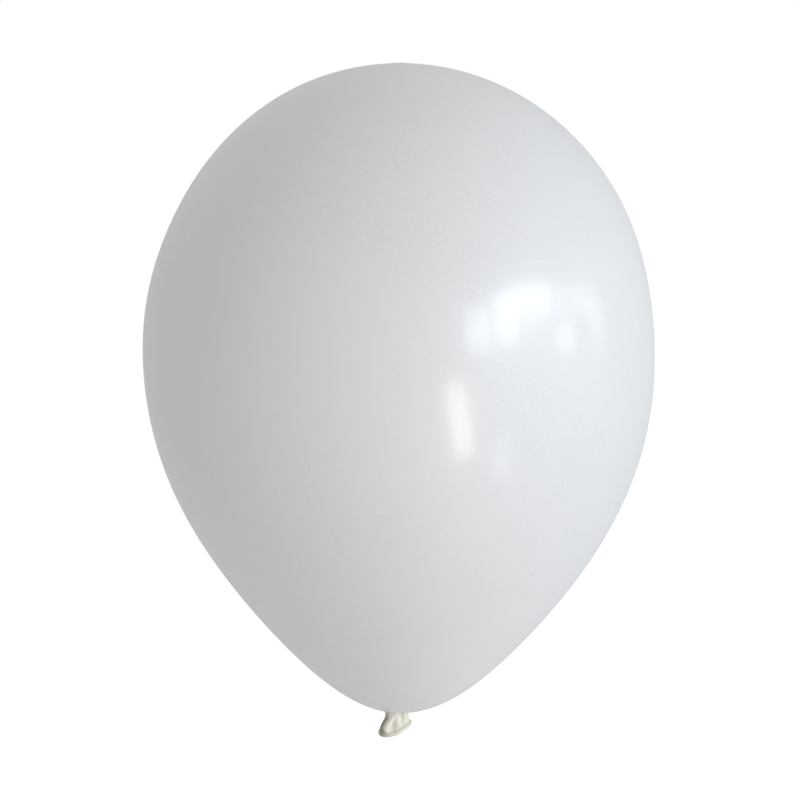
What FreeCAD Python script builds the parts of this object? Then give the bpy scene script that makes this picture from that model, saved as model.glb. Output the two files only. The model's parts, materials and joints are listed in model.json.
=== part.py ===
import FreeCAD, Part
import os
import Sketcher

# A tied latex balloon, in millimetres, +Z up, standing upright above its knot.
# The origin is the middle of the waist, the thinnest place of the gathered neck, between the
# inflated envelope above and the knot below. Seen from the front, along +Y, +X is right.

SIZES = {
    # envelope: widest at the equator, round above it, tapering to the pole below
    "half_width": 140.0,
    "crown_rise": 158.5,
    "equator_level": 202.7,
    "belly_drop": 105.0,
    "taper_radius": 71.0,
    "taper_drop": 142.0,
    "pole_radius": 52.0,
    "pole_edge_drop": 196.0,
    "pole_drop": 202.0,
    "envelope_wall": 0.3,
    # neck: the gathered film, with the round end that the knot turns on
    "neck_radius": 3.2,
    "neck_base": 0.5,
    "neck_length": 1.4,
    "waist_radius": 1.8,
    "neck_ball_radius": 2.0,
    "neck_ball_drop": 1.2,
    "ball_clearance": 0.15,
    # knot: the tucked core, and the turn of film wrapped round its back
    "knot_left": 1.8,
    "knot_back": 1.6,
    "knot_drop": 2.5,
    "knot_half_length": 4.8,
    "knot_half_depth": 3.4,
    "knot_half_height": 1.8,
    "wrap_drop": 2.9,
    "wrap_radius": 4.0,
    "wrap_tube_radius": 1.5,
    "wrap_sweep": 230.0,
    "waist_clearance": 1.6,
    # exit: where the tail leaves the knot, at the front
    "exit_left": 3.0,
    "exit_front": 3.2,
    "exit_drop": 3.8,
    "exit_lean": -15.0,
    "exit_dome_radius": 2.5,
    "tail_ball_radius": 1.6,
    # tail: a flattened funnel from the exit to the oval mouth, measured along the mouth
    "mouth_roll": 19.0,
    "mouth_lean": 22.0,
    "mouth_left": 1.7,
    "mouth_front": 0.6,
    "mouth_drop": 4.8,
    "mouth_half_length": 8.7,
    "mouth_half_width": 4.1,
    "gather_drop": 1.2,
    "gather_half_length": 2.6,
    "gather_half_width": 1.2,
    "hollow_drop": 2.2,
    "tail_wall": 0.7,
    "bead_radius": 1.15,
}

# The crown's curve has handles of these shares of its half width and of its rise. Shares of 0.552
# would make it a quarter ellipse; these make its shoulder a little fuller.
CROWN_HANDLE_ACROSS = 0.56
CROWN_HANDLE_UP = 0.57

# Sketcher's names for a sketch's own axes and for the points of an edge.
ACROSS_AXIS = -1
UP_AXIS = -2
START, END, CENTRE = 1, 2, 3


class Size:
    """A dimension: its value, and the expression that binds it to the sheet."""

    def __init__(self, value, text):
        self.value = value
        self.text = text

    def __add__(self, other):
        return Size(self.value + other.value, f"({self.text} + {other.text})")

    def __sub__(self, other):
        return Size(self.value - other.value, f"({self.text} - {other.text})")

    def __mul__(self, factor):
        return Size(self.value * factor, f"({self.text} * {factor})")

    def __neg__(self):
        return self * -1.0


document = FreeCAD.newDocument("LatexBalloon")
sheet = document.addObject("Spreadsheet::Sheet", "Sizes")
for row, (alias, number) in enumerate(SIZES.items(), start=1):
    sheet.set(f"A{row}", alias)
    sheet.set(f"B{row}", str(number))
    sheet.setAlias(f"B{row}", alias)
document.recompute()
size = {alias: Size(float(sheet.get(alias)), f"Sizes.{alias}") for alias in SIZES}
ZERO = Size(0.0, "0")
FULL_TURN = 360.0


def place(item, across, back, up, roll=ZERO, lean=ZERO, turn=ZERO):
    """Put an item's own origin at a point, turned about Z, then tipped about X, then about Y."""
    spot = f"create(<<vector>>; {across.text}; {back.text}; {up.text})"
    axes = (("0; 1; 0", -roll), ("1; 0; 0", lean), ("0; 0; 1", turn))
    turns = [f"create(<<rotation>>; create(<<vector>>; {axis}); {angle.text})" for axis, angle in axes]
    item.setExpression("Placement", f"create(<<placement>>; {spot}; {' * '.join(turns)})")


def primitive(kind, name, **dimensions):
    """A Part primitive whose properties are bound to the sheet."""
    item = document.addObject(f"Part::{kind}", name)
    for property_name, amount in dimensions.items():
        item.setExpression(property_name, amount.text)
    return item


def fuse(name, items):
    joined = document.addObject("Part::MultiFuse", name)
    joined.Shapes = items
    return joined


def cut(name, base, tool):
    result = document.addObject("Part::Cut", name)
    result.Base = base
    result.Tool = tool
    return result


def new_sketch(body, name, role, offset=ZERO):
    """A sketch on one of the body's origin planes, moved along that plane's normal."""
    sketch = body.newObject("Sketcher::SketchObject", name)
    plane = next(item for item in body.Origin.OriginFeatures if item.Role == role)
    sketch.AttachmentSupport = [(plane, "")]
    sketch.MapMode = "FlatFace"
    sketch.setExpression("AttachmentOffset.Base.z", offset.text)
    return sketch


def dimension(sketch, kind, references, length):
    index = sketch.addConstraint(Sketcher.Constraint(kind, *references, length.value))
    sketch.setExpression(f"Constraints[{index}]", length.text)


def fix_point(sketch, geometry, point, across, up):
    """Dimension a point from the sketch's origin, or hold it on an axis where that is zero."""
    for kind, distance, axis in (("DistanceX", across, UP_AXIS), ("DistanceY", up, ACROSS_AXIS)):
        if distance is ZERO:
            sketch.addConstraint(Sketcher.Constraint("PointOnObject", geometry, point, axis))
        else:
            dimension(sketch, kind, (ACROSS_AXIS, START, geometry, point), distance)


def add_curve(sketch, points):
    """One smooth curve, with a dimensioned control point for each (across, up) pair."""
    curve = Part.BezierCurve()
    curve.setPoles([FreeCAD.Vector(across.value, up.value, 0.0) for across, up in points])
    index = sketch.addGeometry(curve.toBSpline(), False)
    sketch.exposeInternalGeometry(index)
    for number, (across, up) in enumerate(points, start=1):
        fix_point(sketch, index + number, CENTRE, across, up)
    return index


def add_link(sketch, first, second):
    """A straight edge from the end of one curve to the start of another."""
    near_end = sketch.getPoint(first, END)
    far_end = sketch.getPoint(second, START)
    index = sketch.addGeometry(Part.LineSegment(near_end, far_end), False)
    sketch.addConstraint(Sketcher.Constraint("Coincident", index, START, first, END))
    sketch.addConstraint(Sketcher.Constraint("Coincident", index, END, second, START))


def add_ellipse(sketch, across, up, half_length, half_width):
    """An ellipse, long way across, dimensioned by its centre and its two half axes."""
    centre = FreeCAD.Vector(across.value, up.value, 0.0)
    index = sketch.addGeometry(Part.Ellipse(centre, half_length.value, half_width.value), False)
    sketch.exposeInternalGeometry(index)
    long_axis = index + 1
    short_axis = index + 2
    fix_point(sketch, index, CENTRE, across, up)
    sketch.addConstraint(Sketcher.Constraint("Horizontal", long_axis))
    dimension(sketch, "Distance", (long_axis, START, long_axis, END), half_length * 2.0)
    dimension(sketch, "Distance", (short_axis, START, short_axis, END), half_width * 2.0)


def outline(gauge):
    """The envelope's half outline, crown to neck, drawn this far inside the outer surface."""
    width = size["half_width"] - gauge
    rise = size["crown_rise"] - gauge
    equator = size["equator_level"]
    crown = [
        (ZERO, equator + rise),
        (width * CROWN_HANDLE_ACROSS, equator + rise),
        (width, equator + rise * CROWN_HANDLE_UP),
        (width, equator),
    ]
    belly = [
        (width, equator),
        (width, equator - size["belly_drop"]),
        (size["taper_radius"] - gauge, equator - size["taper_drop"] + gauge),
        (size["pole_radius"], equator - size["pole_edge_drop"] + gauge),
        (size["neck_radius"], equator - size["pole_drop"] + gauge),
    ]
    return crown, belly


def make_envelope():
    """The inflated film: a thin closed shell of revolution, open only where the neck passes."""
    body = document.addObject("PartDesign::Body", "Envelope")
    sketch = new_sketch(body, "EnvelopeProfile", "XZ_Plane")
    outer_crown, outer_belly = outline(ZERO)
    inner_crown, inner_belly = outline(size["envelope_wall"])
    crown_outside = add_curve(sketch, outer_crown)
    belly_outside = add_curve(sketch, outer_belly)
    belly_inside = add_curve(sketch, inner_belly[::-1])
    crown_inside = add_curve(sketch, inner_crown[::-1])
    add_link(sketch, belly_outside, belly_inside)
    add_link(sketch, crown_inside, crown_outside)
    shell = body.newObject("PartDesign::Revolution", "EnvelopeShell")
    shell.Profile = (sketch, [""])
    shell.ReferenceAxis = (sketch, ["V_Axis"])
    shell.Angle = FULL_TURN
    return body


def make_neck():
    """The gathered film below the pole: a plug in the envelope, a shoulder, a waist, a ball."""
    plug = primitive("Cylinder", "NeckPlug", Radius=size["neck_radius"], Height=size["neck_length"])
    place(plug, ZERO, ZERO, size["neck_base"])
    shoulder = primitive(
        "Cone",
        "NeckShoulder",
        Radius1=size["waist_radius"],
        Radius2=size["neck_radius"],
        Height=size["neck_base"],
    )
    waist = primitive(
        "Cylinder", "NeckWaist", Radius=size["waist_radius"], Height=size["neck_ball_drop"]
    )
    place(waist, ZERO, ZERO, -size["neck_ball_drop"])
    ball = primitive("Sphere", "NeckBall", Radius=size["neck_ball_radius"])
    place(ball, ZERO, ZERO, -size["neck_ball_drop"])
    return fuse("Neck", [plug, shoulder, waist, ball])


def exit_point():
    return -size["exit_left"], -size["exit_front"], -size["exit_drop"]


def knot_centre(drop):
    return -size["knot_left"], size["knot_back"], -drop


def neck_socket(name):
    """The hollow that the neck's ball turns in."""
    radius = size["neck_ball_radius"] + size["ball_clearance"]
    socket = primitive("Sphere", name, Radius=radius)
    place(socket, ZERO, ZERO, -size["neck_ball_drop"])
    return socket


def knot_blank(name):
    """The tucked core before its sockets: a flattened ball, and the half dome the tail hangs from."""
    bulk = primitive(
        "Ellipsoid",
        f"{name}Bulk",
        Radius1=size["knot_half_height"],
        Radius2=size["knot_half_length"],
        Radius3=size["knot_half_depth"],
    )
    place(bulk, *knot_centre(size["knot_drop"]))
    dome = primitive("Sphere", f"{name}Dome", Radius=size["exit_dome_radius"], Angle1=ZERO)
    place(dome, *exit_point(), roll=size["mouth_roll"], lean=size["exit_lean"])
    return fuse(name, [bulk, dome])


def make_knot_core():
    """The part of the neck tucked through the knot, with a socket for each of its two joints."""
    radius = size["tail_ball_radius"] + size["ball_clearance"]
    tail_socket = primitive("Sphere", "TailSocket", Radius=radius)
    place(tail_socket, *exit_point())
    sockets = fuse("CoreSockets", [neck_socket("CoreNeckSocket"), tail_socket])
    return cut("KnotCore", knot_blank("CoreBlank"), sockets)


def make_knot_wrap():
    """The turn of film round the back of the knot, shaped to the core that it presses on."""
    band = primitive(
        "Torus",
        "WrapBand",
        Radius1=size["wrap_radius"],
        Radius2=size["wrap_tube_radius"],
        Angle3=size["wrap_sweep"],
    )
    quarter_turn = Size(FULL_TURN / 4.0, str(FULL_TURN / 4.0))
    start = quarter_turn - size["wrap_sweep"] * 0.5
    place(band, *knot_centre(size["wrap_drop"]), roll=size["mouth_roll"], turn=start)
    opening = primitive(
        "Cylinder",
        "WaistOpening",
        Radius=size["waist_radius"] + size["waist_clearance"],
        Height=size["neck_ball_drop"] + size["neck_base"],
    )
    place(opening, ZERO, ZERO, -size["neck_ball_drop"])
    hollow = fuse("WrapHollow", [knot_blank("WrapSeat"), neck_socket("WrapNeckSocket"), opening])
    return cut("KnotWrap", band, hollow)


def add_mouth_body(name):
    """A body drawn in the mouth's own directions, with its origin at the knot's exit."""
    body = document.addObject("PartDesign::Body", name)
    place(body, *exit_point(), roll=size["mouth_roll"], lean=size["mouth_lean"])
    return body


def add_loft(body, kind, name, wide_sketch, narrow_sketch):
    loft = body.newObject(f"PartDesign::{kind}", name)
    loft.Profile = wide_sketch
    loft.Sections = [narrow_sketch]
    return loft


def make_lip():
    """The rolled bead round the mouth: a round section carried along the oval rim."""
    body = add_mouth_body("RolledLip")
    rim = new_sketch(body, "Rim", "XY_Plane", -size["mouth_drop"])
    add_ellipse(
        rim,
        -size["mouth_left"],
        -size["mouth_front"],
        size["mouth_half_length"],
        size["mouth_half_width"],
    )
    section = new_sketch(body, "BeadSection", "XZ_Plane", size["mouth_front"])
    right_end = size["mouth_half_length"] - size["mouth_left"]
    centre = FreeCAD.Vector(right_end.value, -size["mouth_drop"].value, 0.0)
    normal = FreeCAD.Vector(0.0, 0.0, 1.0)
    circle = section.addGeometry(Part.Circle(centre, normal, size["bead_radius"].value), False)
    fix_point(section, circle, CENTRE, right_end, -size["mouth_drop"])
    dimension(section, "Radius", (circle,), size["bead_radius"])
    bead = body.newObject("PartDesign::AdditivePipe", "Bead")
    bead.Profile = section
    bead.Spine = rim
    return body


def make_tail(lip):
    """The free end of the neck: a thin flattened funnel, closed at the gather, ending in the lip."""
    body = add_mouth_body("TailFunnel")
    wall = size["tail_wall"]
    mouth_centre = (-size["mouth_left"], -size["mouth_front"])
    mouth = new_sketch(body, "MouthOutline", "XY_Plane", -size["mouth_drop"])
    add_ellipse(mouth, *mouth_centre, size["mouth_half_length"], size["mouth_half_width"])
    gather = new_sketch(body, "GatherOutline", "XY_Plane", -size["gather_drop"])
    add_ellipse(gather, ZERO, ZERO, size["gather_half_length"], size["gather_half_width"])
    add_loft(body, "AdditiveLoft", "Funnel", mouth, gather)
    opening = new_sketch(body, "OpeningOutline", "XY_Plane", -size["mouth_drop"])
    half_length = size["mouth_half_length"] - wall
    half_width = size["mouth_half_width"] - wall
    add_ellipse(opening, *mouth_centre, half_length, half_width)
    crease = new_sketch(body, "CreaseOutline", "XY_Plane", -size["hollow_drop"])
    crease_length = size["gather_half_length"] - wall
    crease_width = size["gather_half_width"] - wall
    add_ellipse(crease, ZERO, ZERO, crease_length, crease_width)
    add_loft(body, "SubtractiveLoft", "Hollow", opening, crease)
    ball = primitive("Sphere", "TailBall", Radius=size["tail_ball_radius"])
    place(ball, *exit_point())
    return cut("Tail", fuse("TailBlank", [body, ball]), lip)


lip_body = make_lip()
SUB_PARTS = {
    "envelope": make_envelope(),
    "neck": make_neck(),
    "knot_core": make_knot_core(),
    "knot_wrap": make_knot_wrap(),
    "tail": make_tail(lip_body),
    "rolled_lip": lip_body,
}
for label, item in SUB_PARTS.items():
    item.Label = label
document.recompute()

for item in document.Objects:
    if "Invalid" in item.State or "Error" in item.State:
        raise RuntimeError(f"{item.Name} did not recompute: {item.State}")
for label, item in SUB_PARTS.items():
    if item.Shape.isNull() or not item.Shape.isValid() or len(item.Shape.Solids) != 1:
        raise RuntimeError(f"{label} is not one sound solid")

os.makedirs("parts", exist_ok=True)
for label, item in SUB_PARTS.items():
    item.Shape.exportStep(f"parts/{label}.step")
    print(label, round(item.Shape.Volume, 2), "mm3")
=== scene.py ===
import json
import math

import bpy
import numpy as np
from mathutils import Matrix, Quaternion, Vector, kdtree


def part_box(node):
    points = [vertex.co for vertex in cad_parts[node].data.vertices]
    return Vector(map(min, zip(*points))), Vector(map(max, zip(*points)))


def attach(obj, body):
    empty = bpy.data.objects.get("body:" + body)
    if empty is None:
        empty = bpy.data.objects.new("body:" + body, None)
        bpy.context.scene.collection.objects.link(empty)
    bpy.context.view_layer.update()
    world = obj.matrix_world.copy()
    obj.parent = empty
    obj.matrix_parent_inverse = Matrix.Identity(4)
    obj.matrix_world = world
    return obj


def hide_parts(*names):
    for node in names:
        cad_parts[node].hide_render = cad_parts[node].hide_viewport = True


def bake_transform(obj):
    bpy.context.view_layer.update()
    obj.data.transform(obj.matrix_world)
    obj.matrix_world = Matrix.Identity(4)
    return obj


# A tied pearl-white latex balloon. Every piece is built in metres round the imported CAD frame.
# Small sizes are written in millimetres and multiplied by MM. The front is -Y, and left and
# right are as seen from there.

MM = 0.001
UP = np.array([0.0, 0.0, 1.0])
FULL_TURN = 2.0 * math.pi

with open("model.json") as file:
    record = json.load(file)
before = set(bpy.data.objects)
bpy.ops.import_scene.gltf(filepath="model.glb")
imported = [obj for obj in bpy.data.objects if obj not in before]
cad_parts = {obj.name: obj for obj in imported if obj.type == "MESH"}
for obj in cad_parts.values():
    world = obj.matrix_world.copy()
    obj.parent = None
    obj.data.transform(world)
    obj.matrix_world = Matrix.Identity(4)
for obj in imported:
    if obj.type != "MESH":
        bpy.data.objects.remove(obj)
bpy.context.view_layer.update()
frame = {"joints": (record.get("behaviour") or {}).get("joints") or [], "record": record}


# ---------------------------------------------------------------- places read from the frame

def named(items, name):
    return next(item for item in items if item["name"] == name)


envelope_low, envelope_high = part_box("envelope")
POLE, CROWN = envelope_low[2], envelope_high[2]
HALF_WIDTH = (envelope_high[0] - envelope_low[0]) / 2

tail_joint = named(frame["joints"], "tail_flex")
lip_mount = named(frame["record"]["mounts"], "lip_grip")
HINGE = np.array(tail_joint["pos_m"])
MOUTH = np.array(lip_mount["pos_m"])
MOUTH_OUT = np.array(lip_mount["axis"])
MOUTH_LONG = -np.array(tail_joint["axis"])
MOUTH_SHORT = np.cross(MOUTH_LONG, MOUTH_OUT)


# ---------------------------------------------------------------- curves and waves

def smoothstep(low, high, value):
    share = np.clip((value - low) / (high - low), 0.0, 1.0)
    return share * share * (3.0 - 2.0 * share)


def hump(value, start, full, wane, end):
    """0 before start, 1 from full to wane and 0 after end, smoothly between them."""
    return smoothstep(start, full, value) * (1.0 - smoothstep(wane, end, value))


def full_turn(count):
    """Angles evenly spread round a full turn."""
    return np.linspace(0.0, FULL_TURN, count, endpoint=False)


def near(angle, degrees, spread):
    """1 at this many degrees round, falling away on both sides of it."""
    return np.exp(-(((angle - math.radians(degrees)) / math.radians(spread)) ** 2))


def wave_sum(angle, counts, seed):
    """An irregular wave round a full turn, from about -1 to 1, made of whole numbers of waves."""
    random = np.random.default_rng(seed)
    total = np.zeros_like(angle, dtype=float)
    weight = 0.0
    for count in counts:
        size = random.uniform(0.6, 1.0)
        total += size * np.sin(count * angle + random.uniform(0.0, FULL_TURN))
        weight += size
    return total / weight * 1.6


def film_pleats(angle):
    """The pleats gathered round the pole, which run on down the neck."""
    return wave_sum(angle, (9, 13, 17), 3) * 0.7 + wave_sum(angle, (23, 31), 4) * 0.3


def strand_pleats(angle, seed):
    """The pleats round a strand of gathered film."""
    coarse = wave_sum(angle, (5, 7, 9, 12), seed)
    fine = wave_sum(angle, (17, 23), seed + 1)
    return coarse * 0.75 + fine * 0.25


def bezier(control, t):
    """Points on the curve with these control points."""
    order = len(control) - 1
    return sum(
        (math.comb(order, i) * t ** i * (1 - t) ** (order - i))[:, None] * np.array(point)
        for i, point in enumerate(control)
    )


def spline(points, count):
    """Points evenly spread in length along a smooth curve through the given points."""
    points = np.array(points, float)
    padded = np.vstack([2 * points[0] - points[1], points, 2 * points[-1] - points[-2]])
    steps = 40
    pieces = []
    for i in range(len(points) - 1):
        a, b, c, d = padded[i:i + 4]
        t = np.linspace(0.0, 1.0, steps, endpoint=False)[:, None]
        pieces.append(
            0.5 * (2 * b + (c - a) * t + (2 * a - 5 * b + 4 * c - d) * t ** 2
                   + (3 * b - a - 3 * c + d) * t ** 3)
        )
    dense = np.vstack(pieces + [points[-1:]])
    reach = np.concatenate([[0.0], np.cumsum(np.linalg.norm(np.diff(dense, axis=0), axis=1))])
    at = np.linspace(0.0, reach[-1], count)
    return np.stack([np.interp(at, reach, dense[:, k]) for k in range(dense.shape[1])], axis=1)


def along(share, line):
    """The value at this share of a smooth line through (share, value) points."""
    line = spline(line, 80)
    return np.interp(share, line[:, 0], line[:, 1])


def moving_frames(path):
    """Two crosswise directions at each point of a path, which turn as little as can be."""
    tangents = np.gradient(path, axis=0)
    tangents /= np.linalg.norm(tangents, axis=1)[:, None]
    side = np.cross(tangents[0], UP)
    if np.linalg.norm(side) < 0.2:
        side = np.array([1.0, 0.0, 0.0])
    sides = []
    for tangent in tangents:
        side = side - tangent * (side @ tangent)
        side /= np.linalg.norm(side)
        sides.append(side)
    sides = np.array(sides)
    return sides, np.cross(tangents, sides)


# ---------------------------------------------------------------- mesh helpers
# Each point of a mesh has a crease value, which paints light and shade on the gathered latex:
# painted shade below 0 in a valley or a fold, painted light above 0 on a ridge.

def mesh_object(name, vertices, faces, material, crease=None):
    mesh = bpy.data.meshes.new(name)
    mesh.from_pydata([tuple(v) for v in vertices], [], faces)
    mesh.update()
    if crease is not None:
        attribute = mesh.attributes.new("crease", "FLOAT", "POINT")
        attribute.data.foreach_set("value", np.asarray(crease, np.float32))
    mesh.polygons.foreach_set("use_smooth", [True] * len(mesh.polygons))
    mesh.materials.append(material)
    item = bpy.data.objects.new(name, mesh)
    bpy.context.scene.collection.objects.link(item)
    return item


def closed_skin(rings, first, last):
    """Vertices and faces of a closed skin: rings of points with a single point at each end."""
    rings = np.asarray(rings)
    rows, around = rings.shape[:2]
    vertices = np.vstack([rings.reshape(-1, 3), [first], [last]])
    faces = []
    for r in range(rows - 1):
        here, after = r * around, (r + 1) * around
        for k in range(around):
            n = (k + 1) % around
            faces.append((here + k, here + n, after + n, after + k))
    top, bottom = rows * around, rows * around + 1
    for k in range(around):
        n = (k + 1) % around
        faces.append((top, n, k))
        faces.append((bottom, (rows - 1) * around + k, (rows - 1) * around + n))
    return vertices, faces


def closed_hoop(rings):
    """Vertices and faces of a hoop: rings of points, the last joined to the first."""
    rings = np.array(rings)
    around, section = rings.shape[:2]
    faces = []
    for k in range(around):
        n = (k + 1) % around
        for j in range(section):
            m = (j + 1) % section
            faces.append((k * section + j, n * section + j, n * section + m, k * section + m))
    return rings.reshape(-1, 3), faces


def turned_out(faces):
    """The same faces with their other side out."""
    return [face[::-1] for face in faces]


def with_ends(creases, first=0.0, last=0.0):
    """The crease values of a closed skin: those of its rings and of its two end points."""
    return np.concatenate([np.ravel(creases), [first, last]])


def strand(points, radii, pleat_depth, twist, seed, rows=90):
    """A pleated strand of gathered film along a curve, closed and rounded at both ends.

    The radii go with the points. Returns vertices, faces and crease values.
    """
    line = spline(np.column_stack([points, radii]), rows)
    path, radius = line[:, :3], line[:, 3]
    sides, ups = moving_frames(path)
    length = np.linalg.norm(np.diff(path, axis=0), axis=1).sum()
    share = np.linspace(0.0, 1.0, rows)
    end_gap = np.minimum(share, 1.0 - share) * length / radius
    rounding = np.sqrt(np.clip(1.0 - (1.0 - np.clip(end_gap, 0.0, 1.0)) ** 2, 0.02, 1.0))
    angle = full_turn(96)
    rings, creases = [], []
    for i in range(rows):
        height = strand_pleats(angle + twist * share[i], seed)
        reach = radius[i] * rounding[i] + pleat_depth * height * rounding[i]
        offset = np.cos(angle)[:, None] * sides[i] + np.sin(angle)[:, None] * ups[i]
        rings.append(path[i] + reach[:, None] * offset)
        # painted light on the pleats' ridges, painted shade in their valleys
        creases.append(height)
    vertices, faces = closed_skin(rings, path[0], path[-1])
    return vertices, faces, with_ends(creases)


def join_parts(parts):
    """One list of vertices, faces and crease values out of several."""
    vertices, faces, creases, start = [], [], [], 0
    for part_vertices, part_faces, part_creases in parts:
        vertices.append(part_vertices)
        creases.append(part_creases)
        faces += [tuple(start + index for index in face) for face in part_faces]
        start += len(part_vertices)
    return np.vstack(vertices), faces, np.concatenate(creases)


def melt_together(item, voxel, smoothing):
    """Turn overlapping closed skins into one, and carry each point's crease value over.

    The voxel is in millimetres, and so is the mesh while it is melted.
    """
    old = item.data
    tree = kdtree.KDTree(len(old.vertices))
    for vertex in old.vertices:
        tree.insert(vertex.co, vertex.index)
    tree.balance()
    values = np.zeros(len(old.vertices), np.float32)
    old.attributes["crease"].data.foreach_get("value", values)
    for vertex in old.vertices:
        vertex.co *= 1.0 / MM
    remesh = item.modifiers.new("Melt", "REMESH")
    remesh.mode = "VOXEL"
    remesh.voxel_size = voxel
    remesh.use_smooth_shade = True
    smooth = item.modifiers.new("Soften", "SMOOTH")
    smooth.factor = 0.5
    smooth.iterations = smoothing
    graph = bpy.context.evaluated_depsgraph_get()
    made = bpy.data.meshes.new_from_object(item.evaluated_get(graph))
    item.modifiers.clear()
    item.data = made
    for vertex in made.vertices:
        vertex.co *= MM
    attribute = made.attributes.get("crease") or made.attributes.new("crease", "FLOAT", "POINT")
    nearest = [values[tree.find(vertex.co)[1]] for vertex in made.vertices]
    attribute.data.foreach_set("value", np.array(nearest, np.float32))
    made.materials.clear()
    made.materials.append(old.materials[0])
    made.polygons.foreach_set("use_smooth", [True] * len(made.polygons))


# ---------------------------------------------------------------- materials

# the colour sockets of a mix node, which has others of the same name
MIX_FIRST, MIX_SECOND, MIX_RESULT = 6, 7, 2


class Shader:
    """A material's node tree, with short ways to add and join nodes."""

    def __init__(self, name):
        self.material = bpy.data.materials.new(name)
        self.material.use_nodes = True
        self.tree = self.material.node_tree
        self.surface = next(n for n in self.tree.nodes if n.type == "BSDF_PRINCIPLED")

    def node(self, kind, **settings):
        made = self.tree.nodes.new(kind)
        for key, value in settings.items():
            setattr(made, key, value)
        return made

    def link(self, start, end):
        self.tree.links.new(start, end)

    def feed(self, source, name):
        """Drive one of the surface's inputs."""
        self.link(source, self.surface.inputs[name])

    def place(self):
        return self.node("ShaderNodeTexCoord").outputs["Object"]

    def noise(self, scale, detail):
        texture = self.node("ShaderNodeTexNoise")
        texture.inputs["Scale"].default_value = scale
        texture.inputs["Detail"].default_value = detail
        texture.inputs["Roughness"].default_value = 0.5
        self.link(self.place(), texture.inputs["Vector"])
        return texture.outputs["Fac"]

    def spread(self, source, low, high, to_low, to_high):
        """Map a value's range onto another, clamped."""
        mapped = self.node("ShaderNodeMapRange", interpolation_type="SMOOTHSTEP")
        limits = {"From Min": low, "From Max": high, "To Min": to_low, "To Max": to_high}
        for key, value in limits.items():
            mapped.inputs[key].default_value = value
        self.link(source, mapped.inputs["Value"])
        return mapped.outputs["Result"]

    def mix(self, share, first, second):
        mixed = self.node("ShaderNodeMix", data_type="RGBA")
        self.link(share, mixed.inputs["Factor"])
        for index, colour in ((MIX_FIRST, first), (MIX_SECOND, second)):
            if isinstance(colour, tuple):
                mixed.inputs[index].default_value = (*colour, 1.0)
            else:
                self.link(colour, mixed.inputs[index])
        return mixed.outputs[MIX_RESULT]

    def bump(self, height, distance, strength, below=None):
        bump = self.node("ShaderNodeBump")
        bump.inputs["Strength"].default_value = strength
        bump.inputs["Distance"].default_value = distance
        self.link(height, bump.inputs["Height"])
        if below is not None:
            self.link(below, bump.inputs["Normal"])
        return bump.outputs["Normal"]

    def settings(self, **values):
        for key, value in values.items():
            self.surface.inputs[key.replace("_", " ")].default_value = value


def stretched_latex():
    """Pearl white film blown up thin: satin under a soft gloss, denser and creamier at the neck."""
    s = Shader("StretchedLatex")
    drift = s.spread(s.noise(9.0, 2.0), 0.35, 0.65, 0.0, 1.0)
    film = s.mix(drift, (0.800, 0.803, 0.806), (0.822, 0.825, 0.829))
    pearl = s.spread(s.noise(900.0, 2.0), 0.4, 0.7, 0.0, 1.0)
    film = s.mix(pearl, film, (0.840, 0.843, 0.848))
    height = s.node("ShaderNodeSeparateXYZ")
    s.link(s.place(), height.inputs["Vector"])
    near_neck = s.spread(height.outputs["Z"], 0.0008, 0.006, 1.0, 0.0)
    s.feed(s.mix(near_neck, film, (0.80, 0.785, 0.72)), "Base Color")
    s.feed(s.spread(s.noise(60.0, 3.0), 0.3, 0.7, 0.36, 0.43), "Roughness")
    s.feed(s.bump(s.noise(1500.0, 2.0), 0.00002, 0.35), "Normal")
    # a dense coat at little weight mirrors as much face on as a full one, and glares less edge on
    s.settings(
        IOR=1.5,
        Coat_Weight=0.22,
        Coat_Roughness=0.17,
        Coat_IOR=2.5,
        Subsurface_Weight=0.25,
        Subsurface_Radius=(1.0, 0.96, 0.9),
        Subsurface_Scale=0.03,
    )
    return s.material


def gathered_latex():
    """The same film unstretched: opaque, cream and satin, with painted shade, darker and yellower, in
    its folds and flanks, and painted light on its ridges.
    """
    s = Shader("GatheredLatex")
    crease = s.node("ShaderNodeAttribute", attribute_name="crease").outputs["Fac"]
    # painted shade: the lowest crease values, on the tail's left flank, in its deepest folds and on
    # the lip's lower left and right end, take the dark brown
    fold_and_shade = s.spread(crease, -2.4, -0.7, 1.0, 0.0)
    # painted light on the ridges, and a painted highlight on the highest crests such as the tail's big
    # left ridge
    ridge_lit = s.spread(crease, -0.9, 0.6, 0.0, 1.0)
    crest_highlight = s.spread(crease, 0.6, 1.4, 0.0, 1.0)
    blotch = s.spread(s.noise(420.0, 3.0), 0.35, 0.65, 0.0, 1.0)
    # the ridge colour is the film's own cream lightened as painted light, the valley colour that cream
    # darkened as painted shade, the fold colour deep painted shade
    fold_shade_colour = s.mix(blotch, (0.24, 0.22, 0.15), (0.29, 0.27, 0.20))
    valley_shade_colour = s.mix(blotch, (0.70, 0.69, 0.57), (0.75, 0.74, 0.64))
    ridge_lit_colour = s.mix(blotch, (0.90, 0.88, 0.76), (0.92, 0.905, 0.82))
    crest_highlight_colour = (0.97, 0.94, 0.84)
    lit = s.mix(crest_highlight, s.mix(ridge_lit, valley_shade_colour, ridge_lit_colour), crest_highlight_colour)
    s.feed(s.mix(fold_and_shade, lit, fold_shade_colour), "Base Color")
    s.feed(s.spread(s.noise(700.0, 3.0), 0.3, 0.7, 0.42, 0.55), "Roughness")
    coarse = s.bump(s.noise(1100.0, 3.0), 0.00012, 0.5)
    s.feed(s.bump(s.noise(5200.0, 2.0), 0.00002, 0.4, below=coarse), "Normal")
    s.settings(
        IOR=1.5,
        Coat_Weight=0.15,
        Coat_Roughness=0.3,
        Coat_IOR=1.5,
        Subsurface_Weight=0.15,
        Subsurface_Radius=(1.0, 0.95, 0.85),
        Subsurface_Scale=0.0008,
    )
    return s.material


film_material = stretched_latex()
cream_material = gathered_latex()


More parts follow.
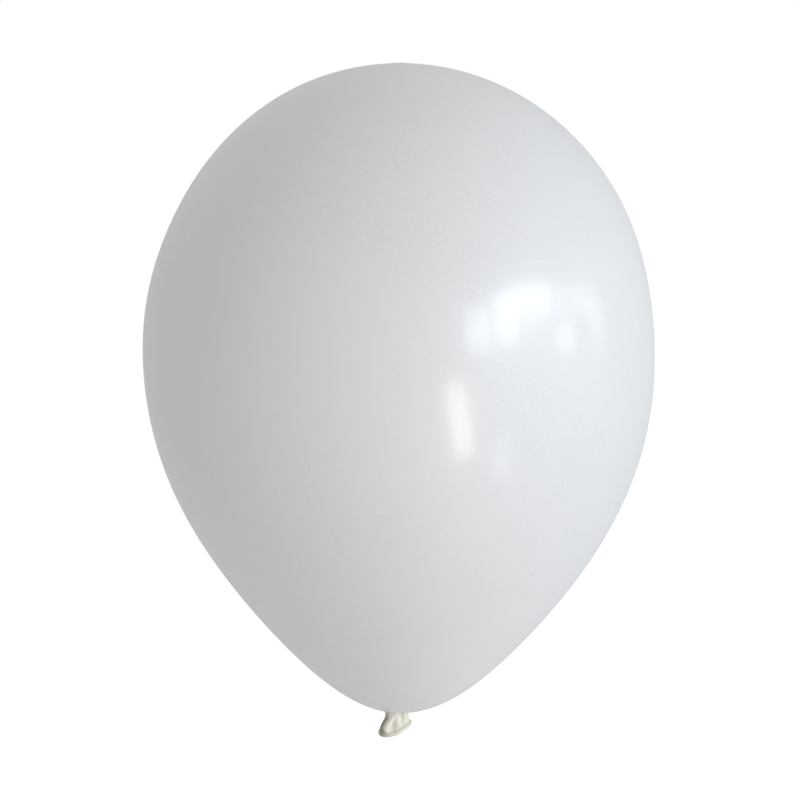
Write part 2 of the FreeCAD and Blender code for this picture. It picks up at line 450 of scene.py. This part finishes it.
# ---------------------------------------------------------------- the envelope

EQUATOR_SHARE = 0.5603          # the widest level, as a share of the height from pole to crown
EQUATOR_LEVEL = POLE + EQUATOR_SHARE * (CROWN - POLE)
CROWN_HANDLES = (0.56, 0.57)    # the crown's curve, in half widths across and in its own rise up
# the belly's curve, across and down from the widest level, in half widths
BELLY_CURVE = [(1.0, 0.0), (1.0, 0.75), (0.507, 1.014), (0.371, 1.4)]
NECK_RADIUS = 3.4 * MM
# the film turns down into the neck, inside the neck's strand: radius and drop below the pole
TURN_DOWN = [(2.9 * MM, 0.25 * MM), (2.3 * MM, 0.45 * MM)]
# a blown-up balloon is never quite even: how far its middle strays to the right, in
# millimetres, at each share of its height
SWAY = [(0.0, 0.0), (0.04, 0.7), (0.20, 0.9), (0.40, 0.0), (0.62, -0.95), (0.81, 0.55), (1.0, -0.1)]
PLEAT_LIFT = 0.16 * MM
PLEATS_FULL, PLEATS_END = 3.5 * MM, 13.0 * MM    # the radii between which the pleats die out
PLEATED_HEIGHT = 0.1                             # no level above this, over the pole, has pleats
TIP_HEIGHT = 0.35 * MM                           # the slight point at the crown
TIP_RADIUS = 5.0 * MM


def envelope_profile():
    """Radius and level from the crown to the neck: a round crown, and a belly that tapers."""
    across, up = CROWN_HANDLES
    dome = [
        (0.0, CROWN),
        (HALF_WIDTH * across, CROWN),
        (HALF_WIDTH, EQUATOR_LEVEL + (CROWN - EQUATOR_LEVEL) * up),
        (HALF_WIDTH, EQUATOR_LEVEL),
    ]
    belly = [(x * HALF_WIDTH, EQUATOR_LEVEL - drop * HALF_WIDTH) for x, drop in BELLY_CURVE]
    belly.append((NECK_RADIUS, POLE))
    # the levels are closest together at the neck, where the film is pleated
    closer_low = 1.0 - (1.0 - np.linspace(0.0, 1.0, 150)[1:]) ** 1.6
    return np.vstack([bezier(dome, np.linspace(0.003, 1.0, 90)), bezier(belly, closer_low)])


profile = envelope_profile()
belly_outwards = profile[-60:][::-1]


def belly_level(radius):
    """The level of the envelope's film this far from the middle, near its pole."""
    return np.interp(radius, belly_outwards[:, 0], belly_outwards[:, 1])


def make_envelope():
    angle = full_turn(224)
    pleat = film_pleats(angle)
    sway_line = spline(SWAY, 200)
    turn_down = [(radius, POLE - drop) for radius, drop in TURN_DOWN]
    rings, creases = [], []
    for radius, level in np.vstack([profile, turn_down]):
        fade, tip = 0.0, 0.0
        if level < POLE + PLEATED_HEIGHT:
            fade = (1.0 - smoothstep(PLEATS_FULL, PLEATS_END, radius)) ** 1.5
        else:
            tip = TIP_HEIGHT * math.exp(-(radius / TIP_RADIUS) ** 2)
        share = (level - POLE) / (CROWN - POLE)
        sway = np.interp(share, sway_line[:, 0], sway_line[:, 1]) * MM
        height = level + tip + PLEAT_LIFT * fade * pleat
        ring = [sway + radius * np.cos(angle), radius * np.sin(angle), height]
        rings.append(np.stack(ring, axis=1))
        creases.append(pleat * fade)
    vertices, faces = closed_skin(
        rings, (0.0, 0.0, CROWN + TIP_HEIGHT), (0.0, 0.0, turn_down[-1][1])
    )
    item = mesh_object("Envelope", vertices, turned_out(faces), film_material, with_ends(creases))
    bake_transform(item)
    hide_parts("envelope")


# ---------------------------------------------------------------- the neck

# from inside the pole through the waist to inside the knot: x, y, level from the pole, radius
NECK_STATIONS = np.array([
    (0.0, 0.0, 0.9, 3.9),
    (0.0, 0.0, 0.15, 3.5),
    (0.0, 0.0, -0.35, 2.7),
    (0.0, 0.0, -0.8, 2.0),
    (0.0, 0.0, -1.4, 1.8),
    (0.05, 0.1, -2.0, 2.0),
    (0.0, 0.3, -3.2, 2.1),
]) * MM
NECK_TWIST = 0.55               # radians for each millimetre down
NECK_PLEAT_DEPTH = 0.22 * MM


def make_neck():
    """The film gathered and twisted into a strand."""
    line = spline(NECK_STATIONS + np.array([0.0, 0.0, POLE, 0.0]), 80)
    angle = full_turn(144)
    rings, creases = [], []
    for x, y, z, radius in line:
        pleat = film_pleats(angle + NECK_TWIST * (POLE - z) / MM)
        reach = radius + NECK_PLEAT_DEPTH * pleat
        ring = [x + reach * np.cos(angle), y + reach * np.sin(angle), np.full_like(angle, z)]
        rings.append(np.stack(ring, axis=1))
        # painted light on the pleats' ridges, painted shade in their valleys
        creases.append(pleat)
    vertices, faces = closed_skin(rings, line[0][:3], line[-1][:3])
    item = mesh_object(
        "GatheredNeck", vertices, turned_out(faces), cream_material, with_ends(creases)
    )
    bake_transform(item)
    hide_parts("neck")


# ---------------------------------------------------------------- the knot

KNOT_CENTRE = np.array([-1.8, 1.6, -2.9]) * MM     # the middle of the turn round the knot
KNOT_ROLL = math.radians(19.0)

# the turn round the knot: distance from its middle, degrees round, drop and half thickness
WRAP_TURN = [
    (2.6, -78, 1.1, 1.0),
    (3.5, -55, 0.7, 1.25),
    (3.9, -28, 0.3, 1.5),
    (4.0, 0, 0.1, 1.6),
    (4.0, 35, 0.0, 1.7),
    (4.05, 75, -0.05, 1.75),
    (4.0, 115, -0.05, 1.75),
    (4.0, 155, 0.0, 1.7),
    (4.0, 190, 0.1, 1.6),
    (3.7, 220, 0.4, 1.4),
    (2.9, 248, 0.9, 1.1),
]
WRAP_TIGHTENED = 0.95           # the share of that thickness left when the knot is pulled tight

# the film inside the knot, strand by strand: points, the radius at each and the pleats' depth
# in millimetres, then the twist in radians and the seed
CORE_STRANDS = [
    ([(0.1, 0.0, -1.0), (0.1, 0.5, -1.9), (-0.6, 1.5, -2.7), (-2.2, 2.6, -3.3), (-4.4, 2.6, -3.6)],
     (1.9, 2.1, 2.1, 1.8, 1.3), 0.16, 1.6, 21),
    ([(1.2, 2.4, -2.2), (-0.4, 1.4, -2.7), (-1.9, -0.6, -3.2), (-2.8, -2.4, -3.7), (-3.0, -3.9, -4.5)],
     (1.3, 1.8, 2.1, 2.2, 1.7), 0.18, -1.8, 22),
    ([(1.0, -0.6, -1.9), (-0.8, -0.9, -1.9), (-3.0, 0.0, -2.3), (-4.9, 1.4, -2.9)],
     (1.0, 1.35, 1.5, 1.2), 0.14, 1.2, 23),
]


def knot_point(radius, degrees, drop):
    """A point on the tilted turn round the knot; 0 degrees is right and 90 is back."""
    a = math.radians(degrees)
    across = np.array([math.cos(KNOT_ROLL), 0.0, math.sin(KNOT_ROLL)])
    backward = np.array([0.0, 1.0, 0.0])
    upward = np.array([-math.sin(KNOT_ROLL), 0.0, math.cos(KNOT_ROLL)])
    offset = across * radius * math.cos(a) + backward * radius * math.sin(a) - upward * drop
    return KNOT_CENTRE + offset * MM


def make_wrap():
    """The turn of the neck wrapped round the back of the knot."""
    points = [knot_point(*row[:3]) for row in WRAP_TURN]
    radii = [row[3] * WRAP_TIGHTENED * MM for row in WRAP_TURN]
    vertices, faces, crease = strand(points, radii, 0.16 * MM, 2.2, 11, rows=150)
    item = mesh_object("KnotWrap", vertices, faces, cream_material, crease)
    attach(item, "knot")
    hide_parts("knot_wrap")


def make_core():
    """The part of the neck tucked through the knot, with the folds pressed against it."""
    parts = [
        strand(np.array(points) * MM, np.array(radii) * MM, pleat_depth * MM, twist, seed)
        for points, radii, pleat_depth, twist, seed in CORE_STRANDS
    ]
    vertices, faces, crease = join_parts(parts)
    item = mesh_object("KnotCore", vertices, faces, cream_material, crease)
    melt_together(item, voxel=0.13, smoothing=2)
    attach(item, "knot")
    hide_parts("knot_core")


# ---------------------------------------------------------------- the tail

RIM_RISE_RIGHT = 1.5 * MM       # how far the rim's two ends turn up
RIM_RISE_LEFT = 0.9 * MM
RIM_POWER = 1.2
RIM_LOWER = 1.0                 # how much lower than its solid the soft lip hangs, in millimetres

# The tail's sections from its top down: share of the way, centre x, y and z, half length and
# half depth behind in millimetres, then roll about Y and lean about the long way in degrees.
TAIL_SECTIONS = [
    (0.00, -2.00, -3.35, 0.15, 6.60, 0.80, -4.0, 0.0),
    (0.12, -2.00, -3.40, -0.80, 6.60, 1.00, 1.0, 2.0),
    (0.28, -2.15, -3.35, -2.20, 6.80, 1.40, 6.0, 5.0),
    (0.45, -2.65, -3.15, -3.90, 7.60, 1.90, 11.0, 10.0),
    (0.65, -3.10, -2.80, -6.00, 8.40, 2.70, 15.0, 16.0),
    (0.85, -3.20, -2.40, -8.05, 8.90, 3.50, 18.0, 20.0),
    (1.00, MOUTH[0] / MM, MOUTH[1] / MM, MOUTH[2] / MM - RIM_LOWER, 8.70, 4.00, 19.0, 22.0),
]
section_line = spline(TAIL_SECTIONS, 400)

# how far the front stands out, in millimetres, at each share of the way down
FRONT_FULLNESS = [(0.0, 2.1), (0.26, 2.6), (0.47, 3.1), (0.68, 3.6), (1.0, 4.0)]
# Folds in the front. Each has a path of share down the tail and place across it (-1 left end,
# 1 right end), a width as a share of the half length, and a height in millimetres at the top,
# half way and at the lip.
# each fold's height is also its crease value: painted light on a ridge, painted shade in a hollow
FRONT_FOLDS = [
    ([(0.0, -0.30), (0.26, -0.42), (0.47, -0.58), (0.68, -0.65), (1.0, -0.54)], 0.22, (0.6, 1.6, 0.7)),
    ([(0.0, 0.06), (0.26, 0.08), (0.47, 0.18), (0.68, 0.32), (1.0, 0.50)], 0.20, (0.7, 0.45, 0.0)),
    ([(0.0, -0.10), (0.26, -0.12), (1.0, -0.18)], 0.16, (0.7, 0.1, 0.0)),
    ([(0.0, 0.46), (0.47, 0.47), (0.75, 0.55), (1.0, 0.70)], 0.11, (-0.4, -0.4, 0.0)),
    ([(0.0, 0.72), (0.47, 0.72), (1.0, 0.85)], 0.13, (0.2, 0.1, 0.0)),
    ([(0.0, -0.12), (0.75, -0.14), (1.0, -0.10)], 0.16, (0.0, -0.5, -0.3)),
]
# Left of this line, which is given as the folds' paths are, the front falls away into a flank
# darkened by painted shade. The depth is the share of the fullness lost there, and the painted
# shade is taken off the crease value, each at the top, half way and at the lip.
FLANK_LINE = [(0.0, -0.67), (0.26, -0.65), (0.47, -0.73), (0.68, -0.74), (0.85, -0.66), (1.0, -0.50)]
FLANK_DEPTH = (0.75, 0.70, 0.0)
FLANK_SHADE = (1.0, 2.3, 2.0)
FLANK_EDGE = (0.16, 0.02)       # how far left and right of the line the fall is spread
SHADE_EDGE = (0.12, 0.09)       # and the shade

# soft pleats down the back: place across at the top and at the lip, width, height in millimetres
BACK_PLEATS = [
    (-0.50, -0.72, 0.11, 0.50),
    (-0.32, -0.48, 0.10, -0.45),
    (-0.14, -0.22, 0.10, 0.50),
    (0.04, 0.02, 0.10, -0.50),
    (0.22, 0.28, 0.10, 0.50),
    (0.40, 0.52, 0.10, -0.45),
    (0.58, 0.74, 0.11, 0.45),
]
GROOVE_DEPTH = 0.25             # the groove above the lip, in millimetres
# painted shade in the groove and the back pleats' valleys, painted light on their ridges
FOLD_SHADING = 1.6                 # crease value for each millimetre of groove or back pleat

TOP_ROUNDING = 0.65 * MM
# from the envelope's film down to where the top edge rounds over
TUCK_GAP = TOP_ROUNDING + 0.12 * MM
TUCKED_SHARE = 0.16             # the share of the tail that is drawn up to the film


def rim_rise(angle):
    right = RIM_RISE_RIGHT * np.clip(np.cos(angle), 0, 1) ** RIM_POWER
    left = RIM_RISE_LEFT * np.clip(-np.cos(angle), 0, 1) ** RIM_POWER
    return right + left


def oval(centre, long_axis, short_axis, half_length, half_width, angle):
    return (centre + half_length * np.cos(angle)[:, None] * long_axis
            + half_width * np.sin(angle)[:, None] * short_axis)


def tilted(roll, lean):
    """The long and short directions of a section rolled about Y, then leant about its long way."""
    r, n = math.radians(roll), math.radians(lean)
    long_axis = np.array([math.cos(r), 0.0, math.sin(r)])
    short_axis = np.array([-math.sin(r) * math.sin(n), math.cos(n), math.cos(r) * math.sin(n)])
    return long_axis, short_axis


def tail_section(share):
    """The centre, long and short directions, half length and half depth behind of a section."""
    row = [np.interp(share, section_line[:, 0], section_line[:, k]) for k in range(1, 8)]
    half_length, back_depth, roll, lean = row[3:]
    return np.array(row[:3]) * MM, tilted(roll, lean), half_length, back_depth


def down_the_tail(share, values):
    """A value given at the tail's top, half way and the lip, smoothly between them."""
    return along(share, list(zip((0.0, 0.5, 1.0), values)))


def front_fullness(across, share):
    """How far the front stands out, in millimetres, and its crease value, with painted light and
    shade, at each place across.
    """
    fullness = np.full_like(across, along(share, FRONT_FULLNESS))
    relief = np.zeros_like(across)
    for path, width, heights in FRONT_FOLDS:
        gap = (across - along(share, path)) / width
        relief += down_the_tail(share, heights) * np.exp(-gap ** 2)
    edge = along(share, FLANK_LINE)
    fallen = 1.0 - smoothstep(edge - FLANK_EDGE[0], edge + FLANK_EDGE[1], across)
    shaded = 1.0 - smoothstep(edge - SHADE_EDGE[0], edge + SHADE_EDGE[1], across)
    # painted shade: the flank's darkness is taken off the crease value
    crease = relief - shaded * down_the_tail(share, FLANK_SHADE)
    return (fullness + relief) * (1.0 - fallen * down_the_tail(share, FLANK_DEPTH)), crease


def back_relief(across, share):
    """How far the back pleats stand out, in millimetres, at each place across."""
    fade = hump(share, 0.05, 0.30, 0.75, 0.98)
    return fade * sum(
        height * np.exp(-((across - top - (lip - top) * share) / width) ** 2)
        for top, lip, width, height in BACK_PLEATS
    )


def tail_ring(share, angle):
    """The outside of the tail at this share of the way down, with its crease values."""
    centre, (long_axis, short_axis), half_length, back_depth = tail_section(share)
    across, depth = np.cos(angle), np.sin(angle)
    fullness, front_crease = front_fullness(across, share)
    relief = back_relief(across, share)
    groove = GROOVE_DEPTH * hump(share, 0.74, 0.90, 0.94, 1.0)
    reach = np.where(depth < 0, fullness, back_depth + relief) - groove
    ring = (centre + (across * (half_length - 0.4 * groove) * MM)[:, None] * long_axis
            + (depth * reach * MM)[:, None] * short_axis)
    ring = ring + UP * (rim_rise(angle) * share ** 2.5)[:, None]
    # the top edge lies close under the envelope's film all the way round
    film = belly_level(np.hypot(ring[:, 0], ring[:, 1])) - TUCK_GAP
    tuck = max(0.0, 1.0 - share / TUCKED_SHARE) ** 2
    ring[:, 2] += tuck * (film - ring[:, 2])
    # painted shade in the groove above the lip and in the back pleats' valleys, painted light on their
    # ridges
    return ring, np.where(depth < 0, front_crease, relief * FOLD_SHADING) - groove * FOLD_SHADING


def tail_top(angle):
    """The top edge, rounded over inwards, from its innermost ring out."""
    top, crease = tail_ring(0.0, angle)
    long_axis, short_axis = tail_section(0.0)[1]
    inward = -(np.cos(angle)[:, None] * long_axis + np.sin(angle)[:, None] * short_axis)
    turns = np.radians(np.linspace(80.0, 10.0, 8))
    return [
        (top + TOP_ROUNDING * (inward * (1.0 - math.cos(turn)) + UP * math.sin(turn)), crease)
        for turn in turns
    ]


def tail_inside(angle, end):
    """The inside of the tail, from its rim up to the flat fold where the film closes."""
    centre, (rim_long, rim_short) = tail_section(1.0)[:2]
    end_long, end_short = tilted(14.0, 12.0)
    wave = wave_sum(angle, (7, 11, 15), 41)
    outward = np.stack([np.cos(angle), np.sin(angle), np.zeros_like(angle)], axis=1)
    rings = []
    for t in np.linspace(0.0, 1.0, 60):
        shut = t ** 0.85
        ring = oval(
            centre * (1 - shut) + end * shut,
            rim_long * (1 - shut) + end_long * shut,
            rim_short * (1 - shut) + end_short * shut,
            (7.9 * (1 - shut) + 0.9 * shut) * MM,
            (3.3 * (1 - shut) + 0.25 * shut) * MM,
            angle,
        )
        fold_and_shade = wave * 0.35 * math.sin(math.pi * min(1.0, t * 1.1)) * (1 - 0.75 * t)
        ring = ring + outward * (fold_and_shade * MM)[:, None]
        ring = ring + UP * (rim_rise(angle) * (1 - shut) ** 2)[:, None]
        # painted shade: the inside grows darker the deeper it goes, and darker in its folds' valleys
        rings.append((ring, -0.35 - 0.5 * t + fold_and_shade))
    return rings


def make_tail():
    """The free end of the neck, flared and folded, open at its mouth."""
    angle = full_turn(288)
    end = HINGE + np.array([0.4, 0.5, -0.9]) * MM
    outside = [tail_ring(share, angle) for share in np.linspace(0.0, 1.0, 110)]
    rings, creases = zip(*(tail_top(angle) + outside + tail_inside(angle, end)))
    top_middle = outside[0][0].mean(axis=0) + UP * TOP_ROUNDING
    vertices, faces = closed_skin(rings, top_middle, end)
    # painted shade at the closed end, deep inside the mouth
    item = mesh_object(
        "FlaredTail", vertices, turned_out(faces), cream_material, with_ends(creases, last=-1.0)
    )
    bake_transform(item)
    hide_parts("tail")


# ---------------------------------------------------------------- the rolled lip

LIP_HALF_LENGTH = 8.7 * MM
LIP_HALF_WIDTH = 4.1 * MM
LIP_RADIUS = 1.15 * MM
LIP_THICKER_LEFT = 0.42 * MM
LIP_UNEVEN = 0.05 * MM
LIP_LONGER_LEFT = 0.40 * MM
SEAM_AT = math.radians(128.0)   # where round the bead its roll ends, 0 being outward
SEAM_WANDER = 0.25              # radians
SEAM_WIDTH = 0.11               # radians
SEAM_DEPTH = 0.12 * MM


def make_lip():
    """The rolled bead, thickest at the lower left, with the line where its roll ends."""
    angle, turn = full_turn(300), full_turn(40)
    middle = MOUTH - UP * RIM_LOWER * MM
    centre = oval(middle, MOUTH_LONG, MOUTH_SHORT, LIP_HALF_LENGTH, LIP_HALF_WIDTH, angle)
    centre = centre + UP * rim_rise(angle)[:, None]
    left = near(angle, 195, 45)
    # painted shade over the bead's lower left, which faces away from the light
    shaded = near(angle, 208, 50)
    # painted shade on the bead's right end
    right_end_shade = np.clip(np.cos(angle), 0.0, 1.0) ** 4
    radius = LIP_RADIUS + LIP_THICKER_LEFT * left + LIP_UNEVEN * wave_sum(angle, (3, 5, 9), 51)
    centre = centre + MOUTH_LONG * (LIP_LONGER_LEFT * left)[:, None]
    tangent = np.roll(centre, -1, axis=0) - np.roll(centre, 1, axis=0)
    tangent /= np.linalg.norm(tangent, axis=1)[:, None]
    outward = np.cross(tangent, MOUTH_OUT)
    outward /= np.linalg.norm(outward, axis=1)[:, None]
    downward = np.cross(outward, tangent)
    rings, creases = [], []
    for k in range(len(angle)):
        seam_at = SEAM_AT + SEAM_WANDER * math.sin(2.0 * angle[k])
        gap = np.angle(np.exp(1j * (turn - seam_at)))
        seam = np.exp(-(gap / SEAM_WIDTH) ** 2)
        reach = radius[k] - SEAM_DEPTH * seam
        across = np.cos(turn)[:, None] * outward[k] + np.sin(turn)[:, None] * downward[k]
        rings.append(centre[k] + reach[:, None] * across)
        # the crease value paints shade along the seam's groove, over the lower left and on the right
        # end
        creases.append(0.7 - 0.2 * seam - 2.4 * shaded[k] - 1.8 * right_end_shade[k])
    vertices, faces = closed_hoop(rings)
    item = mesh_object("RolledLip", vertices, faces, cream_material, np.ravel(creases))
    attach(item, "free_end")
    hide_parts("rolled_lip")


# ---------------------------------------------------------------- the floor and the room

FLOOR_LEVEL = -0.45
FLOOR_REACH = 30.0


def make_floor():
    """A pale floor far below, which neither shades nor tints the balloon."""
    corners = [(-1, -1), (1, -1), (1, 1), (-1, 1)]
    vertices = [(x * FLOOR_REACH, y * FLOOR_REACH, FLOOR_LEVEL) for x, y in corners]
    s = Shader("PaleFloor")
    s.settings(
        Base_Color=(0.9, 0.9, 0.9, 1.0),
        Roughness=0.9,
        Emission_Color=(1.0, 1.0, 1.0, 1.0),
        Emission_Strength=0.5,
    )
    floor = mesh_object("Floor", vertices, [(0, 1, 2, 3)], s.material)
    floor.visible_diffuse = False
    floor.visible_glossy = False
    floor.visible_shadow = False


# The room: warm light from everywhere, and daylight that adds to it from each side.
ROOM_EVEN = (0.40, 0.368, 0.342)
DAYLIGHT = (0.79, 0.93, 1.04)
DAYLIGHT_SHARES = {
    (1.0, 0.0, 0.0): 0.12,
    (-1.0, 0.0, 0.0): 0.06,
    (0.0, -1.0, 0.0): 0.17,
    (0.0, 1.0, 0.0): 0.28,
    (0.0, 0.0, 1.0): 0.14,
    (0.0, 0.0, -1.0): 0.12,
}


def make_world():
    """Soft light that differs smoothly from side to side; the camera sees plain white."""
    world = bpy.data.worlds.new("Studio")
    world.use_nodes = True
    tree = world.node_tree
    tree.nodes.clear()
    place = tree.nodes.new("ShaderNodeTexCoord").outputs["Generated"]

    def vector(operation, first, second):
        """A vector sum, of which each side is an output or three numbers."""
        node = tree.nodes.new("ShaderNodeVectorMath")
        node.operation = operation
        for index, value in enumerate((first, second)):
            if isinstance(value, tuple):
                node.inputs[index].default_value = value
            else:
                tree.links.new(value, node.inputs[index])
        return node.outputs

    total = ROOM_EVEN
    for direction, strength in DAYLIGHT_SHARES.items():
        facing = tree.nodes.new("ShaderNodeMath")
        facing.operation = "MAXIMUM"
        facing.inputs[1].default_value = 0.0
        tree.links.new(vector("DOT_PRODUCT", place, direction)["Value"], facing.inputs[0])
        colour = tuple(strength * value for value in DAYLIGHT)
        light = vector("MULTIPLY", facing.outputs["Value"], colour)["Vector"]
        total = vector("ADD", total, light)["Vector"]
    room = tree.nodes.new("ShaderNodeBackground")
    tree.links.new(total, room.inputs["Color"])
    seen = tree.nodes.new("ShaderNodeBackground")
    seen.inputs["Color"].default_value = (1.0, 1.0, 1.0, 1.0)
    path = tree.nodes.new("ShaderNodeLightPath")
    choice = tree.nodes.new("ShaderNodeMixShader")
    tree.links.new(path.outputs["Is Camera Ray"], choice.inputs["Fac"])
    tree.links.new(room.outputs["Background"], choice.inputs[1])
    tree.links.new(seen.outputs["Background"], choice.inputs[2])
    output = tree.nodes.new("ShaderNodeOutputWorld")
    tree.links.new(choice.outputs["Shader"], output.inputs["Surface"])
    bpy.context.scene.world = world


# ---------------------------------------------------------------- windows and camera

EQUATOR = Vector((0.0, 0.0, EQUATOR_LEVEL))
WINDOW_DISTANCE = 2.0
COOL = (0.90, 0.96, 1.04)
BLUE = (0.70, 0.90, 1.15)
WARM = (1.0, 0.97, 0.93)

# window panes seen from the balloon: azimuth (0 front, 90 right), elevation, width, height and
# tilt in degrees, then radiance and colour
PANES = {
    "WindowLeft": (34.0, 10.0, 11.0, 13.0, 0.0, 4.5, COOL),
    "WindowMain": (47.0, 12.0, 10.0, 15.0, 0.0, 5.5, COOL),
    "WindowTop": (61.0, 15.5, 19.0, 9.0, -8.0, 5.0, COOL),
    "WindowCorner": (85.0, 11.0, 26.0, 7.0, -12.0, 2.0, COOL),
    "WindowMiddle": (61.0, 8.0, 16.0, 8.0, 0.0, 1.0, COOL),
    "WindowPost": (76.0, 3.5, 9.0, 6.0, 0.0, 4.5, COOL),
    "WindowRight": (96.0, 3.5, 9.0, 9.0, 0.0, 1.5, COOL),
    "DoorStrip": (26.0, -16.5, 8.0, 23.0, 16.0, 5.5, WARM),
    "DoorMiddle": (47.5, -27.0, 7.0, 13.0, 15.0, 2.0, COOL),
    "DoorRight": (77.5, -29.0, 9.0, 6.0, 0.0, 0.6, COOL),
    "SoftMiddle": (66.0, -8.0, 64.0, 24.0, 0.0, 0.4, BLUE),
}

CAMERA_DISTANCE = 1.4
CAMERA_ELEVATION = math.radians(8.0)
CAMERA_LENS = 114.66
CAMERA_SENSOR = 36.0
AIM_LEFT = 0.2 * MM             # how far left of and below the widest level's middle it aims
AIM_BELOW = 25.5 * MM


def pane(name, azimuth, elevation, width, height, tilt, radiance, colour):
    """A window pane: an area light that faces the balloon's middle."""
    a, e = math.radians(azimuth), math.radians(elevation)
    back = Vector((math.sin(a) * math.cos(e), -math.cos(a) * math.cos(e), math.sin(e)))
    data = bpy.data.lights.new(name, "AREA")
    data.shape = "RECTANGLE"
    data.size = 2.0 * WINDOW_DISTANCE * math.tan(math.radians(width / 2))
    data.size_y = 2.0 * WINDOW_DISTANCE * math.tan(math.radians(height / 2))
    data.color = colour
    data.energy = radiance * data.size * data.size_y * math.pi
    item = bpy.data.objects.new(name, data)
    item.location = EQUATOR + back * WINDOW_DISTANCE
    item.rotation_mode = "QUATERNION"
    turned = Quaternion((0.0, 0.0, 1.0), math.radians(tilt))
    item.rotation_quaternion = back.to_track_quat("Z", "Y") @ turned
    item.visible_camera = False
    bpy.context.scene.collection.objects.link(item)


def make_windows():
    for name, values in PANES.items():
        pane(name, *values)


def make_camera():
    data = bpy.data.cameras.new("Camera")
    data.lens = CAMERA_LENS
    data.sensor_width = CAMERA_SENSOR
    item = bpy.data.objects.new("Camera", data)
    bpy.context.scene.collection.objects.link(item)
    back = Vector((0.0, -math.cos(CAMERA_ELEVATION), math.sin(CAMERA_ELEVATION)))
    item.location = EQUATOR + back * CAMERA_DISTANCE
    target = EQUATOR - Vector((AIM_LEFT, 0.0, AIM_BELOW))
    item.rotation_mode = "QUATERNION"
    item.rotation_quaternion = (target - item.location).to_track_quat("-Z", "Y")
    bpy.context.scene.camera = item


make_envelope()
make_neck()
make_wrap()
make_core()
make_tail()
make_lip()
make_floor()
make_world()
make_windows()
make_camera()
bpy.context.scene.view_settings.view_transform = "Standard"
